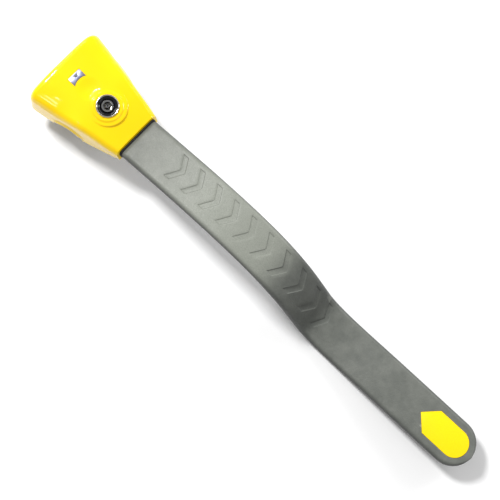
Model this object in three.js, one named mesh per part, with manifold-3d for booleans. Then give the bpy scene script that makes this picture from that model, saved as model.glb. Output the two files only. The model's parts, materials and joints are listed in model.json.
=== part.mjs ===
// Steering wheel lock: clamp head with a hinged lower jaw and key lock, long arched bar.
// Millimetres, +Z up, X along the bar toward its tail. Heights below are measured from the
// centre of the wheel rim; the finished part is moved so that it rests on z = 0.
import * as THREE from 'three';
import { mergeVertices } from 'three/addons/utils/BufferGeometryUtils.js';
import Module from 'manifold-3d';

const wasm = await Module();
wasm.setup();

// ---------------------------------------------------------------- driving dimensions
const GAP = 0.3;               // clearance between neighbouring pieces
const WALL = 2.6;              // head cover wall

const HEAD_FAR = -113;         // far end of the head, x of the joint is 0
const HEAD_TOP = 39.5;         // height of the flat of the head cover
const JOINT_TOP = 31.8;        // height of the cover where the bar leaves it
const JOINT_BASE = 16;         // lower edge of the cover where the bar leaves it
const PLAN_CORNER = 9;         // corner radius of the head seen from above
const TOP_ROUND = 6;           // rounding between top and walls
const CROWN = [0.9, 5.5];      // fall of the top toward its sides: at the lock, at the far end
const CROWN_POWER = 3.5;

const RIM_X = -62;             // centre of the rim channel
const RIM_R = 17.8;            // clear radius of the rim channel
const PAD = 3;                 // rubber lining thickness

const HINGE_X = -99;           // jaw hinge, on the height of the rim centre
const PIN_R = 3;
const RUNNING = 0.08;          // radial clearance of turning fits
const JAW_HALF = 15;           // half width of the jaw
const LUG_TOP = 14.4;

const LOCK_X = -44;            // key lock axis
const BOSS_TOP = 40.6;
const BEZEL_R = 12.4;
const TRAVEL = 6.5;            // bolt travel for a quarter turn of the key
const FOLLOWER_R = 23;         // follower distance from the lock axis, bolt retracted
const BOLT_LOW = 6.5;
const BOLT_HIGH = 11;
const BOLT_TIP = -34;
const CAM_LOW = 23.5;
const CAM_THICK = 2;

const BAR_HALF = 25.5;         // half width of the bar
const BAR_EDGE = 5;            // width of the rolled edge
const BAR_THICK = 12;
const CORE_HALF = 18.5;        // steel core half width
const CORE_THICK = 6;
const TAIL_X = 485.5;          // tip of the tail
const GRIP_X = [414.6, 430, 462]; // reflector: point, shoulder, start of the round end
const GRIP_HALF = 15.8;

// centre line of the bar seen from the side: over the hub, under the far rim, flat tail
const BAR_PATH = [
  [-30, 15.2], [0, 24], [54, 40], [100, 50.5], [150, 55], [188, 49], [222, 29.5],
  [246, 5], [264, -14.5], [286, -22.4], [312, -22.2], [360, -15.5], [425, -8], [500, -0.5],
];

// ---------------------------------------------------------------- finishes
const finish = (color, roughness, metalness) =>
  new THREE.MeshStandardMaterial({ color, roughness, metalness });
const YELLOW = finish(0xf7e600, 0.25, 0);
const GREY = finish(0x8d9189, 0.6, 0);
const CAST = finish(0x6b6e72, 0.55, 0.8);
const STEEL = finish(0x9a9da1, 0.4, 1);
const CHROME = finish(0xd8dade, 0.12, 1);
const RUBBER = finish(0x17181a, 0.85, 0);
const BLACK = finish(0x0c0c0d, 0.15, 0);
const SILVER = finish(0xc2c3d0, 0.35, 0.9);
const BRASS = finish(0xb59a55, 0.35, 1);

// ---------------------------------------------------------------- solid helpers
const RESULT = new THREE.Group();
RESULT.name = 'steering_wheel_lock';
const PLACED = [];

function solid(geometry) {
  const bare = new THREE.BufferGeometry();
  bare.setAttribute('position', geometry.getAttribute('position').clone());
  if (geometry.index) bare.setIndex(geometry.index.clone());
  const merged = mergeVertices(bare, 1e-4);
  const faces = [];
  for (let i = 0; i < merged.index.count; i += 3) {
    const [a, b, c] = [0, 1, 2].map((k) => merged.index.getX(i + k));
    if (a !== b && b !== c && c !== a) faces.push(a, b, c);
  }
  return new wasm.Manifold(new wasm.Mesh({
    numProp: 3,
    vertProperties: new Float32Array(merged.getAttribute('position').array),
    triVerts: new Uint32Array(faces),
  }));
}

function add(name, body, material) {
  const raw = body.getMesh();
  const geometry = new THREE.BufferGeometry();
  const points = new Float32Array(raw.numVert * 3);
  for (let i = 0; i < raw.numVert; i += 1) {
    for (let k = 0; k < 3; k += 1) points[3 * i + k] = raw.vertProperties[raw.numProp * i + k];
  }
  geometry.setAttribute('position', new THREE.BufferAttribute(points, 3));
  geometry.setIndex(new THREE.BufferAttribute(new Uint32Array(raw.triVerts), 1));
  const mesh = new THREE.Mesh(geometry, material);
  mesh.name = name;
  RESULT.add(mesh);
  PLACED.push(geometry);
}

const at = (geometry, x, y, z) => geometry.translate(x, y, z);

function box(x0, x1, y0, y1, z0, z1) {
  const g = new THREE.BoxGeometry(x1 - x0, y1 - y0, z1 - z0);
  return solid(at(g, (x0 + x1) / 2, (y0 + y1) / 2, (z0 + z1) / 2));
}

// closed profile of [radius, height] turned about the vertical through (x, y)
function turned(profile, x, y, sides) {
  const points = profile.map(([r, z]) => new THREE.Vector2(r, z));
  return solid(at(new THREE.LatheGeometry(points, sides).rotateX(Math.PI / 2), x, y, 0));
}

const rod = (r, x, y, z0, z1, sides = 24) =>
  turned([[0, z0], [r, z0], [r, z1], [0, z1]], x, y, sides);

// flat outline, always running anticlockwise
function outlineShape(points) {
  const flat = points.map(([u, v]) => new THREE.Vector2(u, v));
  return new THREE.Shape(THREE.ShapeUtils.isClockWise(flat) ? flat.reverse() : flat);
}

// outline in x and z pulled along y
function slab(points, y0, y1) {
  const shape = outlineShape(points);
  const g = new THREE.ExtrudeGeometry(shape, { depth: y1 - y0, bevelEnabled: false });
  return solid(g.rotateX(Math.PI / 2).translate(0, y1, 0));
}

// outline in x and y pulled up
function plate(shape, z0, z1) {
  const g = new THREE.ExtrudeGeometry(shape, { depth: z1 - z0, bevelEnabled: false });
  return solid(at(g, 0, 0, z0));
}

function arc(cx, cy, r, from, to, steps) {
  const points = [];
  for (let i = 0; i <= steps; i += 1) {
    const a = THREE.MathUtils.degToRad(from + ((to - from) * i) / steps);
    points.push([cx + r * Math.cos(a), cy + r * Math.sin(a)]);
  }
  return points;
}

// rod lying across the part
const crossRod = (r, x, z, half, sides = 32) => slab(arc(x, z, r, 0, 360, sides).slice(1), -half, half);

// skin through rings of equal length, closed with a cap at both ends
function skin(rings) {
  const n = rings[0].length;
  const points = rings.flat();
  const faces = [];
  for (let i = 0; i + 1 < rings.length; i += 1) {
    for (let j = 0; j < n; j += 1) {
      const a = i * n + j;
      const b = i * n + ((j + 1) % n);
      faces.push(a, b, b + n, a, b + n, a + n);
    }
  }
  const cap = (ring, offset, flip) => {
    const flat = ring.map((p) => new THREE.Vector2(p[1], p[2]));
    for (const [a, b, c] of THREE.ShapeUtils.triangulateShape(flat, [])) {
      faces.push(offset + a, offset + (flip ? c : b), offset + (flip ? b : c));
    }
  };
  cap(rings[0], 0, true);
  cap(rings[rings.length - 1], (rings.length - 1) * n, false);
  const g = new THREE.BufferGeometry();
  g.setAttribute('position', new THREE.Float32BufferAttribute(points.flat(), 3));
  g.setIndex(faces);
  return solid(g);
}

// ---------------------------------------------------------------- bar centre line
const path = new THREE.CatmullRomCurve3(
  BAR_PATH.map(([x, z]) => new THREE.Vector3(x, 0, z)), false, 'centripetal',
);

// point and slope of the centre line above a given x
function barAt(x) {
  let low = 0;
  let high = 1;
  for (let i = 0; i < 40; i += 1) {
    const mid = (low + high) / 2;
    if (path.getPoint(mid).x < x) low = mid;
    else high = mid;
  }
  const p = path.getPoint(low);
  const t = path.getTangent(low);
  return { x: p.x, z: p.z, tx: t.x, tz: t.z };
}

// h is measured square to the centre line
function onBar(x, y, h) {
  const f = barAt(x);
  return [f.x - h * f.tz, y, f.z + h * f.tx];
}

// a piece modelled flat about the origin, moved onto the bar at x
function setOnBar(body, x) {
  const f = barAt(x);
  return body.rotate([0, -Math.atan2(f.tz, f.tx) * (180 / Math.PI), 0]).translate([f.x, 0, f.z]);
}

// half width of the bar at x, with the round tail
function barHalf(x, inset = 0) {
  const r = BAR_HALF - inset;
  const centre = TAIL_X - BAR_HALF;
  if (x <= centre) return r;
  return Math.sqrt(Math.max(r * r - (x - centre) ** 2, 0.04));
}

function barStations(from, to, inset) {
  const straight = [48, 72, 96, 120, 144, 160, 176, 190, 204, 216, 228, 238, 248, 257, 265, 273,
    281, 290, 300, 312, 330, 350, 380, 420];
  const list = [from, ...straight.filter((x) => x > from + 4 && x < to - 30)];
  const r = BAR_HALF - inset;
  const centre = TAIL_X - BAR_HALF;
  for (let a = 0; a <= 80; a += 10) list.push(centre + r * Math.sin(THREE.MathUtils.degToRad(a)));
  list.push(to);
  return list.filter((x) => x <= to);
}

// half of the bar shell: side = 1 upper, -1 lower; the seam runs along the centre line
function shellHalf(side, from) {
  const full = BAR_THICK / 2;
  const seam = 0.12 * side;
  const rings = barStations(from, TAIL_X, 0).map((x) => {
    const w = barHalf(x);
    const edge = Math.min(BAR_EDGE, w);
    const points = [];
    for (const [sign, order] of [[-1, [0, 1, 2, 3, 4]], [1, [4, 3, 2, 1, 0]]]) {
      for (const k of order) {
        const a = (k * Math.PI) / 8;
        const h = seam + (full - 0.12) * side * Math.sin(a);
        points.push(onBar(x, sign * (w - edge * (1 - Math.cos(a))), h));
      }
    }
    return side > 0 ? points.reverse() : points;
  });
  return skin(rings);
}

// flat strip following the bar
function strip(from, half, low, high) {
  const inset = BAR_HALF - half;
  const rings = barStations(from, TAIL_X - inset, inset).map((x) => {
    const w = barHalf(x, inset);
    return [onBar(x, -w, low), onBar(x, w, low), onBar(x, w, high), onBar(x, -w, high)];
  });
  return skin(rings);
}

// lowest height of the bar, in the dip behind the far rim
const DIP = [264, 312];
let BAR_LOW = 0;
for (let x = DIP[0]; x < DIP[1]; x += 0.5) BAR_LOW = Math.min(BAR_LOW, barAt(x).z - BAR_THICK / 2);

// everything on the head side of a plane square to the bar at x
const headSide = (body, x) => body.subtract(setOnBar(box(0, 80, -90, 90, -90, 90), x));

// ---------------------------------------------------------------- head outline
function headHalf(x) {
  const d = -x;
  const base = 28.8 + 0.27 * d - 0.00058 * d * d;
  const { smoothstep } = THREE.MathUtils;
  const draft = 0.4 + 2.6 * smoothstep(d, 0, 45);
  return { top: base - draft, base };
}

function headTop(x) {
  const u = THREE.MathUtils.clamp((x + 60) / 60, 0, 1.15);
  return HEAD_TOP - (HEAD_TOP - JOINT_TOP) * u * u;
}

function headBase(x) {
  const u = THREE.MathUtils.clamp((x + 46) / 46, 0, 1.15);
  return JOINT_BASE * u ** 1.2;
}

// rounded trapezoid body of the head, made smaller all round by inset
function headBody(inset, end, drop = 0) {
  const start = HEAD_FAR + inset;
  const corner = PLAN_CORNER - inset * 0.6;
  const round = Math.max(TOP_ROUND - inset, 2.2);
  const near = [0, 0.4, 1.3, 2.7, 4.6, 7, 9].map((d) => start + d);
  const rest = [-94, -84, -72, -60, -52, -46, -40, -33, -26, -19, -12, -5];
  const rings = [...near, ...rest.filter((x) => x < end), end].map((x) => {
    const d = x - start;
    const pull = d < corner ? corner - Math.sqrt(corner ** 2 - (corner - d) ** 2) : 0;
    const sink = d < round ? round - Math.sqrt(round ** 2 - (round - d) ** 2) : 0;
    const wide = headHalf(x);
    const top = wide.top - inset - pull;
    const base = wide.base - inset - pull;
    const zTop = headTop(x) - inset - sink;
    const zBase = headBase(x) - drop;
    const fall = THREE.MathUtils.lerp(...CROWN, THREE.MathUtils.smoothstep(-x, 45, 85));
    const crown = (y) => zTop - fall * Math.abs(y / top) ** CROWN_POWER;
    const lean = ((base - top) * round) / (zTop - zBase);
    const left = [[-base, zBase]];
    for (let k = 0; k <= 5; k += 1) {
      const a = (k * Math.PI) / 10;
      const low = 1 - Math.sin(a);
      const y = -top + round * (1 - Math.cos(a)) - lean * low;
      left.push([y, crown(y) - round * low]);
    }
    for (const share of [0.72, 0.55, 0.3]) left.push([-top * share, crown(top * share)]);
    const right = left.map(([y, z]) => [-y, z]).reverse();
    return [...left, ...right].map(([y, z]) => [x, y, z]).reverse();
  });
  return skin(rings);
}

// ---------------------------------------------------------------- head cover
const COVER_POSTS = [[-102, 35], [-102, -35], [-20, 24], [-20, -24]];
const MOUTH_X = -1.7;           // cover mouth, measured along the bar
const GASKET_THICK = 1.6;

function boss(r0, r1, low) {
  const profile = [
    [0, low], [r1 + 1.5, low], [r1 + 1.5, 33], [r1, 37.2], [r1 - 1.2, 38.8],
    [r0 + 1.6, 39.4], [r0 + 0.5, BOSS_TOP], [0, BOSS_TOP],
  ];
  return turned(profile, LOCK_X, 0, 48);
}

function badgeOutline(grow) {
  const DISH_X = -70.3;
  const end = arc(DISH_X, 0, 15 - grow, 180 - 30, 180 + 30, 8);
  const half = 8 + grow;
  const inner = end.filter(([, y]) => Math.abs(y) < half - 0.2).reverse();
  const edgeX = DISH_X - Math.sqrt((15 - grow) ** 2 - half ** 2);
  const farX = -92.8 - grow;
  return outlineShape([[farX, -half], [edgeX, -half], ...inner, [edgeX, half], [farX, half]]);
}

{
  let cover = headBody(0, 6);
  cover = cover.subtract(headSide(headBody(WALL, 6, 3), MOUTH_X - WALL));
  cover = cover.add(boss(15.6, 21, 33).intersect(headBody(0.4, 6).add(box(-70, -15, -30, 30, 36, 45))));
  for (const [x, y] of COVER_POSTS) {
    const post = rod(4.4, x, y, 12.3, 38, 16).intersect(headBody(1, 6, 3));
    cover = cover.add(post);
    cover = cover.subtract(rod(1.7, x, y, 11, 22, 12));
  }
  cover = cover.subtract(crossRod(RIM_R - 0.2, RIM_X, 0, 70, 48));
  cover = cover.subtract(rod(10, LOCK_X, 0, 30, 45, 32));
  cover = cover.subtract(rod(11.8, LOCK_X, 0, 35.7, 45, 32));
  // thumb dish: shallow cap of a large ball
  const DISH_R = 14.5;
  const DISH_DEEP = 1.5;
  const ball = (DISH_R ** 2 + DISH_DEEP ** 2) / (2 * DISH_DEEP);
  const dish = [[0, HEAD_TOP - DISH_DEEP]];
  for (const r of [3.5, 7, 10.5, 14, 17.5]) {
    dish.push([r, HEAD_TOP - DISH_DEEP + ball - Math.sqrt(ball ** 2 - r ** 2)]);
  }
  dish.push([17.5, 48], [0, 48]);
  cover = cover.subtract(turned(dish, -70.3, 0, 40).subtract(boss(15.6, 15.6, 30)));
  cover = cover.subtract(plate(badgeOutline(GAP), HEAD_TOP - 1.1, 45));
  cover = cover.subtract(rod(1.2, -90.2, 0.8, 30, 45, 12));
  // slot under the mouth so that the cover drops over the bar core
  cover = headSide(cover, MOUTH_X);
  const slot = box(-12, 8, -CORE_HALF - 0.5, CORE_HALF + 0.5, -30, CORE_THICK / 2 + 0.5);
  cover = cover.subtract(setOnBar(slot, 0));
  add('head_cover', cover, YELLOW);
}

// ---------------------------------------------------------------- frame
const HALF_SADDLE = RIM_R + PAD + GAP;

{
  const inside = headBody(WALL + 0.5, 6, 0);
  const deck = box(HEAD_FAR, -14.5, -60, 60, 8, 12);
  const ring = slab([
    ...arc(RIM_X, 0, HALF_SADDLE + 4, 1, 179, 24),
    ...arc(RIM_X, 0, HALF_SADDLE, 179, 1, 24),
  ], -33, 33);
  const under = -CORE_THICK / 2 - 0.1;
  const seat = setOnBar(box(-24, -4, -CORE_HALF, CORE_HALF, -7, under), 0);
  let frame = deck.add(ring).add(seat).intersect(headSide(inside, MOUTH_X - WALL - 0.5));
  const tongue = setOnBar(box(-40, 20, -30, 30, under, 12), 0);
  frame = frame.subtract(tongue.intersect(box(-19.3, 10, -30, 30, 0, 40)));
  for (const side of [-1, 1]) {
    const y0 = side > 0 ? JAW_HALF + 0.5 : -JAW_HALF - 5.5;
    const ear = slab([
      ...arc(HINGE_X, 0, 6.5, 180, 360, 16), [HINGE_X + 6.5, 10], [HINGE_X - 6.5, 10],
    ], y0, y0 + 5);
    frame = frame.add(ear);
  }
  frame = frame.add(box(-33.8, -13.5, -10, 10, 6.4, 15));
  // room for the rim lining, the jaw arm and the locking lug
  frame = frame.subtract(crossRod(HALF_SADDLE, RIM_X, 0, 70, 48));
  frame = frame.subtract(box(-112, -83, -JAW_HALF - 0.4, JAW_HALF + 0.4, -10, 7.6));
  frame = frame.subtract(box(-42, -34.1, -11.4, 11.4, -2, 17));
  // bolt channel with the follower slot in its roof
  frame = frame.subtract(box(-40, -15.5, -4.3, 4.3, -2, BOLT_HIGH + GAP));
  frame = frame.subtract(box(-29.7, -18.8, -1.9, 1.9, 8, 18));
  frame = frame.subtract(crossRod(PIN_R + RUNNING, HINGE_X, 0, 40, 24));
  for (const [x, y] of COVER_POSTS) frame = frame.subtract(rod(1.9, x, y, 0, 20, 12));
  for (const y of [-7.2, 7.2]) frame = frame.subtract(rod(1.4, -24, y, 0, 11, 12));
  for (const y of [-11.5, 11.5]) {
    frame = frame.subtract(setOnBar(rod(2.8, 0, y, -12, 4, 16), -10));
  }
  add('head_frame', frame, CAST);
}

// rubber linings: the cut ends of both halves leave a small gap between them
const lining = (from, to, half) => slab([
  ...arc(RIM_X, 0, RIM_R + PAD, from, to, 20),
  ...arc(RIM_X, 0, RIM_R, to, from, 20),
], -half, half);
add('saddle_pad', lining(1, 179, 32.5), RUBBER);
add('jaw_pad', lining(181, 359, JAW_HALF - 0.6), RUBBER);

// ---------------------------------------------------------------- jaw and its hinge
{
  const REACH = 26;
  const outline = [
    [HINGE_X + 3, 5.8], [-88, -0.4], [RIM_X - HALF_SADDLE + 1, -0.4],
    [RIM_X + HALF_SADDLE - 1, -0.4], [RIM_X + REACH, -0.4],
    ...arc(RIM_X, 0, REACH, -4, -66, 10),
    [RIM_X + 10, BAR_LOW], [RIM_X - 14, BAR_LOW],
    ...arc(RIM_X, 0, REACH + 1, -128, -160, 6),
    [HINGE_X - 3, -5.8],
  ].reverse();
  let jaw = slab(outline, -JAW_HALF, JAW_HALF);
  jaw = jaw.add(crossRod(6.5, HINGE_X, 0, JAW_HALF, 24));
  jaw = jaw.add(box(-40.9, RIM_X + REACH, -11, 11, -6, LUG_TOP));
  jaw = jaw.subtract(crossRod(HALF_SADDLE, RIM_X, 0, 40, 48));
  jaw = jaw.subtract(crossRod(PIN_R + RUNNING, HINGE_X, 0, 40, 24));
  jaw = jaw.subtract(box(-45, -30, -4.4, 4.4, BOLT_LOW - 0.4, BOLT_HIGH + 0.4));
  add('lower_jaw', jaw, STEEL);

  const PIN_END = JAW_HALF + 8.3;
  const grooveIn = JAW_HALF + 6.2;
  const grooveOut = grooveIn + 1.2;
  const pin = turned([
    [0, -PIN_END], [2.4, -PIN_END], [PIN_R, -PIN_END + 0.6], [PIN_R, -grooveOut], [2.2, -grooveOut],
    [2.2, -grooveIn], [PIN_R, -grooveIn], [PIN_R, grooveIn], [2.2, grooveIn],
    [2.2, grooveOut], [PIN_R, grooveOut], [PIN_R, PIN_END - 0.6], [2.4, PIN_END], [0, PIN_END],
  ], 0, 0, 24).rotate([90, 0, 0]).translate([HINGE_X, 0, 0]);
  add('hinge_pin', pin, STEEL);
  for (const [label, side] of [['left', 1], ['right', -1]]) {
    const outer = arc(HINGE_X, 0, 5.4, -50, 230, 20);
    const inner = arc(HINGE_X, 0, 2.5, 230, -50, 12);
    const middle = side * (grooveIn + grooveOut) / 2;
    add(`hinge_clip_${label}`, slab([...outer, ...inner], middle - 0.35, middle + 0.35), STEEL);
  }
}

// ---------------------------------------------------------------- key lock
{
  const flange = BOSS_TOP + 0.2;
  let barrel = turned([
    [4.2, 26.2], [9.6, 26.2], [9.6, 36], [11.5, 36], [11.5, flange], [BEZEL_R, flange],
    [BEZEL_R, 41.9], [BEZEL_R - 0.6, 42.6], [11.2, 42.6], [10.6, 42.2],
    [10.6, 37.6], [6.3, 37.6], [6.3, 41.6], [6, 41.9], [4.5, 41.9],
    [4.2, 41.6], [4.2, 26.2],
  ], LOCK_X, 0, 40);
  const notch = box(3.4, 7, -0.9, 0.9, 38.6, 43).rotate([0, 0, 45]).translate([LOCK_X, 0, 0]);
  barrel = barrel.subtract(notch);
  add('lock_barrel', barrel, CHROME);

  const ring = turned([
    [6.6, 38], [10.3, 38], [10.3, 42], [9.9, 42], [6.6, 39.4], [6.6, 38],
  ], LOCK_X, 0, 40);
  add('dish_ring', ring, BLACK);

  const NUT = [28.4, 32.6];
  const hexagon = rod(13.8, LOCK_X, 0, ...NUT, 6);
  const bore = rod(9.9, LOCK_X, 0, 20, 40, 32);
  add('barrel_nut', hexagon.add(rod(11, LOCK_X, 0, ...NUT, 24)).subtract(bore), STEEL);

  let plug = turned([
    [0, 25.9], [4.1, 25.9], [4.1, 35.6], [1.9, 35.6], [1.9, 41], [1.5, 41.4], [0, 41.4],
  ], LOCK_X, 0, 24);
  plug = plug.add(box(LOCK_X - 2.4, LOCK_X + 2.4, -2.4, 2.4, 23.4, 26));
  plug = plug.subtract(rod(1.3, LOCK_X, 0, 22, 27.4, 12));
  const PIN_CIRCLE = 2.9;
  for (let k = 0; k < 7; k += 1) {
    const a = (k * 2 * Math.PI) / 7 + 0.3;
    const x = LOCK_X + PIN_CIRCLE * Math.cos(a);
    const y = PIN_CIRCLE * Math.sin(a);
    plug = plug.subtract(rod(0.8, x, y, 29, 37, 10));
    add(`tumbler_pin_${k + 1}`, rod(0.52, x, y, 31, 35.5, 8), BRASS);
  }
  add('lock_plug', plug, CHROME);

  // the groove of the cam is a spiral: the follower moves evenly with the key
  const groove = (angle) => FOLLOWER_R + (TRAVEL * angle) / 90;
  const polar = (r, deg) => {
    const a = THREE.MathUtils.degToRad(deg);
    return [r * Math.cos(a), r * Math.sin(a)];
  };
  const SLOT = 1.9;
  const outline = [];
  for (let a = 12; a >= -103; a -= 5) outline.push(polar(groove(a) + SLOT + 2.8, a));
  outline.push(...arc(0, 0, 6.5, -135, -315, 12));
  const cam = outlineShape(outline);
  const hole = [];
  for (let a = 7; a >= -98; a -= 5) hole.push(polar(groove(a) + SLOT, a));
  for (let a = -98; a <= 7; a += 5) hole.push(polar(groove(a) - SLOT, a));
  cam.holes.push(outlineShape(hole));
  let camBody = plate(cam, CAM_LOW, CAM_LOW + CAM_THICK).translate([LOCK_X, 0, 0]);
  camBody = camBody.subtract(box(LOCK_X - 2.7, LOCK_X + 2.7, -2.7, 2.7, 20, 30));
  add('spiral_cam', camBody, STEEL);
  const screw = turned([
    [0, 21], [3.2, 21], [4, 21.8], [4, 23.2], [1, 23.2], [1, 27], [0, 27],
  ], LOCK_X, 0, 20);
  add('cam_screw', screw.subtract(box(-5, 5, -0.5, 0.5, 20, 21.7).translate([LOCK_X, 0, 0])), STEEL);
}

// ---------------------------------------------------------------- sliding bolt
{
  let bolt = slab([
    [BOLT_TIP, BOLT_LOW + 0.6], [BOLT_TIP + 0.6, BOLT_LOW], [-17.5, BOLT_LOW], [-17.5, BOLT_HIGH],
    [BOLT_TIP + 0.6, BOLT_HIGH], [BOLT_TIP, BOLT_HIGH - 0.6],
  ], -4, 4);
  const pinX = LOCK_X + FOLLOWER_R;
  bolt = bolt.subtract(rod(1.6, pinX, 0, 7.4, 20, 20));
  add('lock_bolt', bolt, STEEL);
  add('bolt_follower', rod(1.5, pinX, 0, 7.5, CAM_LOW + CAM_THICK + 0.3, 20), STEEL);

  let cover = box(-33.8, -13.5, -10, 10, 3.9, 6.1);
  for (const [i, y] of [[1, 7.2], [2, -7.2]]) {
    cover = cover.subtract(rod(1.5, -24, y, 0, 8, 14)).subtract(rod(2.7, -24, y, 3, 5, 16));
    const screw = turned([[0, 3.9], [2.3, 3.9], [2.3, 4.8], [1.1, 4.8], [1.1, 10.6], [0, 10.6]], -24, y, 16);
    add(`plate_screw_${i}`, screw, STEEL);
  }
  add('bolt_plate', cover, CAST);
}

COVER_POSTS.forEach(([x, y], i) => {
  const screw = turned([[0, 5.6], [3, 5.6], [3.4, 6], [3.4, 7.7], [1.4, 7.7], [1.4, 21], [0, 21]], x, y, 18);
  const drive = box(x - 1.2, x + 1.2, y - 1.2, y + 1.2, 5, 6.8);
  add(`cover_screw_${i + 1}`, screw.subtract(drive), STEEL);
});

// ---------------------------------------------------------------- bar
const SHELL_START = 0.5;
const SCREW_X = [34, 128, 196, 330, 398];
const CAVITY_HALF = CORE_HALF + 0.5;
const FLOOR = -CORE_THICK / 2 - 0.3;
const CEILING = CORE_THICK / 2 + 0.2;

{
  let core = strip(-18.5, CORE_HALF, -CORE_THICK / 2, CORE_THICK / 2);
  for (const y of [-11.5, 11.5]) core = core.subtract(setOnBar(rod(2.8, 0, y, -12, 12, 16), -10));
  for (const x of SCREW_X) core = core.subtract(setOnBar(rod(2, 0, 0, -12, 12, 14), x));
  add('bar_core', core, STEEL);

  const cavity = strip(-6, CAVITY_HALF, FLOOR, CEILING);

  let upper = shellHalf(1, SHELL_START).subtract(cavity);
  // sunk chevrons, the plain relief of the bar
  const ARM = 15;
  const SWEEP = 9;
  const STROKE = 6.5;
  const SIDE = 3;
  const SUNK = 0.6;
  const FIRST_TIP = 58;
  const STEP = 23.5;
  const COUNT = 10;
  for (let k = 0; k < COUNT; k += 1) {
    const tip = FIRST_TIP + k * STEP;
    const middle = (STROKE - SWEEP) / 2;
    const shape = outlineShape([
      [-SWEEP, -ARM], [STROKE - SWEEP, -ARM], [STROKE, 0],
      [STROKE - SWEEP, ARM], [-SWEEP, ARM], [0, 0],
    ].map(([u, v]) => [u - middle, v + SIDE]));
    upper = upper.subtract(setOnBar(plate(shape, BAR_THICK / 2 - SUNK, BAR_THICK), tip + middle));
  }
  const grip = (grow) => outlineShape([
    [GRIP_X[0] - grow * 1.4, 0],
    [GRIP_X[1] - grow * 0.4, -GRIP_HALF - grow],
    ...arc(GRIP_X[2], 0, GRIP_HALF + grow, -90, 90, 20),
    [GRIP_X[1] - grow * 0.4, GRIP_HALF + grow],
  ]);
  const middle = (GRIP_X[0] + GRIP_X[2]) / 2;
  const lay = (shape, low, high) =>
    setOnBar(plate(shape, low, high).translate([-middle, 0, 0]), middle);
  upper = upper.subtract(lay(grip(GAP), BAR_THICK / 2 - 1.5, 20));
  for (const x of SCREW_X) upper = upper.subtract(setOnBar(rod(1.7, 0, 0, -1, 5.2, 12), x));
  add('sleeve_upper', upper, GREY);
  add('tail_reflector', lay(grip(0), BAR_THICK / 2 - 1.4, BAR_THICK / 2 - 0.1), YELLOW);

  let lower = shellHalf(-1, SHELL_START).subtract(cavity);
  for (const x of SCREW_X) {
    lower = lower.subtract(setOnBar(rod(1.8, 0, 0, -9, 0, 12), x));
    lower = lower.subtract(setOnBar(rod(3.1, 0, 0, -9, -4.6, 16), x));
  }
  add('sleeve_lower', lower, GREY);
  SCREW_X.forEach((x, i) => {
    const screw = turned([
      [0, -5.9], [2.8, -5.9], [2.8, -4.8], [1.4, -4.8], [1.4, 5], [0, 5],
    ], 0, 0, 16).subtract(box(-0.9, 0.9, -0.9, 0.9, -7, -5.3));
    add(`sleeve_screw_${i + 1}`, setOnBar(screw, x), STEEL);
  });

  for (const [i, y] of [[1, 11.5], [2, -11.5]]) {
    const rivet = turned([
      [0, -8.6], [3.2, -8.6], [4, -7.8], [4, -7.2], [2.4, -7.2], [2.4, 3.2],
      [4.3, 3.2], [4, 4], [2.6, 4.7], [0, 5],
    ], 0, y, 18);
    add(`bar_rivet_${i}`, setOnBar(rivet, -10), STEEL);
  }

  const round = 4;
  const hw = BAR_HALF + 0.6 - round;
  const hh = BAR_THICK / 2 + 0.4 - round;
  const outer = outlineShape([
    ...arc(hw, -hh, round, -90, 0, 4), ...arc(hw, hh, round, 0, 90, 4),
    ...arc(-hw, hh, round, 90, 180, 4), ...arc(-hw, -hh, round, 180, 270, 4),
  ]);
  const holeHalf = CORE_HALF + 0.4;
  const holeHigh = CORE_THICK / 2 + 0.4;
  outer.holes.push(outlineShape([
    [-holeHalf, holeHigh], [holeHalf, holeHigh], [holeHalf, -holeHigh], [-holeHalf, -holeHigh],
  ]));
  const g = new THREE.ExtrudeGeometry(outer, { depth: GASKET_THICK, bevelEnabled: false });
  g.rotateX(Math.PI / 2).rotateZ(Math.PI / 2);
  add('mouth_gasket', setOnBar(solid(g).translate([MOUTH_X + 0.2, 0, 0]), 0), RUBBER);
}

// ---------------------------------------------------------------- badge
{
  const rivetX = -90.2;
  const rivetY = 0.8;
  const badge = plate(badgeOutline(0), HEAD_TOP - 1, HEAD_TOP + 0.1);
  add('badge_plate', badge.subtract(rod(1.2, rivetX, rivetY, 30, 45, 12)), SILVER);
  const rivet = turned([
    [0, 37.2], [0.9, 37.2], [0.9, HEAD_TOP + 0.3], [1.7, HEAD_TOP + 0.3], [1.2, HEAD_TOP + 0.7],
    [0, HEAD_TOP + 0.8],
  ], rivetX, rivetY, 12);
  add('badge_rivet', rivet, STEEL);
}

// origin: middle of the whole length, on the surface the lock rests on
const MID_X = (HEAD_FAR + TAIL_X) / 2;
for (const geometry of PLACED) geometry.translate(-MID_X, 0, -BAR_LOW);

export default RESULT;
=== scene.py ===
"""Looks of the steering wheel lock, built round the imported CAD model. All lengths are in
millimetres until a mesh is made; design heights are measured from the centre of the wheel rim."""

import json
import math

import bmesh
import bpy
import numpy as np
from mathutils import Matrix, Vector


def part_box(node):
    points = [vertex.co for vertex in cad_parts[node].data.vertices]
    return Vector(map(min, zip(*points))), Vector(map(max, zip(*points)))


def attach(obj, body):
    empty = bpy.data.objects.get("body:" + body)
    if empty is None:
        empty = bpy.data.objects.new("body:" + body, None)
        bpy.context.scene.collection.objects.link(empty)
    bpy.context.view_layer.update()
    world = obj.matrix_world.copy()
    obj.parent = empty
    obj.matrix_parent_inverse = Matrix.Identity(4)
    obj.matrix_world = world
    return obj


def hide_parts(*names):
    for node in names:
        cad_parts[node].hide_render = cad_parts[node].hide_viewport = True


MM = 0.001

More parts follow.
